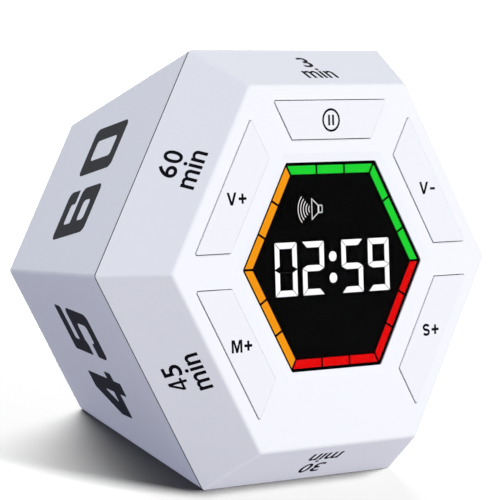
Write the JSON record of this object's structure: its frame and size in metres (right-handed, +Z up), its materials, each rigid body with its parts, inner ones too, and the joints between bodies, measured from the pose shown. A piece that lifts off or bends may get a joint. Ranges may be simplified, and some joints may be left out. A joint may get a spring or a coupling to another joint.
{
  "type": "flip timer",
  "caption": "Hexagonal flip timer that stands on any rear facet, with a lit display, coloured progress ring, push keys, loudspeaker and rechargeable cell.",
  "frame": {"origin": "on the table, under the middle of the timer's box, as it stands on its lower rear facet", "axes": "+Z up, -Y towards the user who faces the display, +X to that user's right"},
  "size_m": [0.0838, 0.0652, 0.0703],
  "materials": {
    "case_white": "fine matte moulded",
    "key_white": "fine matte moulded",
    "window_smoke": "polished",
    "mask_black": "matt black film",
    "light_box_white": "moulded",
    "lit_green": "milky, lit",
    "lit_orange": "milky, lit",
    "lit_red": "milky, lit",
    "lit_white": "milky, lit",
    "unlit_dark": "smoked",
    "led_pale": "clear resin",
    "board_green": "solder mask",
    "steel": "plated",
    "screw_steel": "dark plated",
    "black_plastic": "moulded",
    "ivory_plastic": "moulded",
    "ceramic_tan": "fired",
    "cell_foil": "matt foil",
    "amber_tape": "film",
    "foam_grey": "foam",
    "cone_paper": "pressed",
    "lead_red": "insulation",
    "lead_black": "insulation"
  },
  "bodies": {
    "case": {"front_shell": "case_white", "rear_shell": "case_white", "case_screws": "screw_steel", "display_window": "window_smoke", "display_mask": "mask_black", "light_box": "light_box_white", "display_leds": "led_pale", "main_board": "board_green", "board_screws": "screw_steel", "controller_chip": "black_plastic", "driver_chip": "black_plastic", "gravity_sensor": "black_plastic", "crystal": "steel", "capacitors": "ceramic_tan", "battery_cell": "cell_foil", "battery_strip": "amber_tape", "battery_tape": "foam_grey", "speaker_gasket": "foam_grey", "speaker_frame": "steel", "speaker_cone": "cone_paper", "speaker_magnet": "steel", "power_board": "board_green", "power_screws": "screw_steel", "usb_shell": "steel", "usb_tongue": "black_plastic", "slide_switch_body": "black_plastic", "charge_chip": "black_plastic", "battery_plug": "ivory_plastic", "supply_plug": "ivory_plastic", "speaker_plug": "ivory_plastic", "power_plug": "ivory_plastic", "ring_bars_green": "lit_green", "ring_bars_red": "lit_red", "ring_bars_orange": "lit_orange", "digit_bars_lit": "lit_white", "digit_bars_unlit": "unlit_dark", "colon_dots": "lit_white", "symbol_field": "unlit_dark", "switch_bases": "black_plastic", "switch_covers": "steel", "battery_lead_red": "lead_red", "battery_lead_black": "lead_black", "supply_lead_red": "lead_red", "supply_lead_black": "lead_black", "speaker_lead_red": "lead_red", "speaker_lead_black": "lead_black"},
    "pause_button": {"pause_key": "key_white", "pause_plunger": "black_plastic"},
    "volume_up_button": {"volume_up_key": "key_white", "volume_up_plunger": "black_plastic"},
    "volume_down_button": {"volume_down_key": "key_white", "volume_down_plunger": "black_plastic"},
    "minute_button": {"minute_key": "key_white", "minute_plunger": "black_plastic"},
    "second_button": {"second_key": "key_white", "second_plunger": "black_plastic"},
    "power_slider": {"slide_switch_knob": "black_plastic"}
  },
  "joints": [
    {"name": "pause_press", "type": "slide", "parent": "case", "child": "pause_button", "axis": [0, 0.9659, -0.2588], "range_m": [0, 0.0005], "stiffness_N_per_m": 2000},
    {"name": "volume_up_press", "type": "slide", "parent": "case", "child": "volume_up_button", "axis": [0, 0.9659, -0.2588], "range_m": [0, 0.0005], "stiffness_N_per_m": 2000},
    {"name": "volume_down_press", "type": "slide", "parent": "case", "child": "volume_down_button", "axis": [0, 0.9659, -0.2588], "range_m": [0, 0.0005], "stiffness_N_per_m": 2000},
    {"name": "minute_press", "type": "slide", "parent": "case", "child": "minute_button", "axis": [0, 0.9659, -0.2588], "range_m": [0, 0.0005], "stiffness_N_per_m": 2000},
    {"name": "second_press", "type": "slide", "parent": "case", "child": "second_button", "axis": [0, 0.9659, -0.2588], "range_m": [0, 0.0005], "stiffness_N_per_m": 2000},
    {"name": "power_slide", "type": "slide", "parent": "case", "child": "power_slider", "axis": [-1, 0, 0], "range_m": [0, 0.002]}
  ]
}
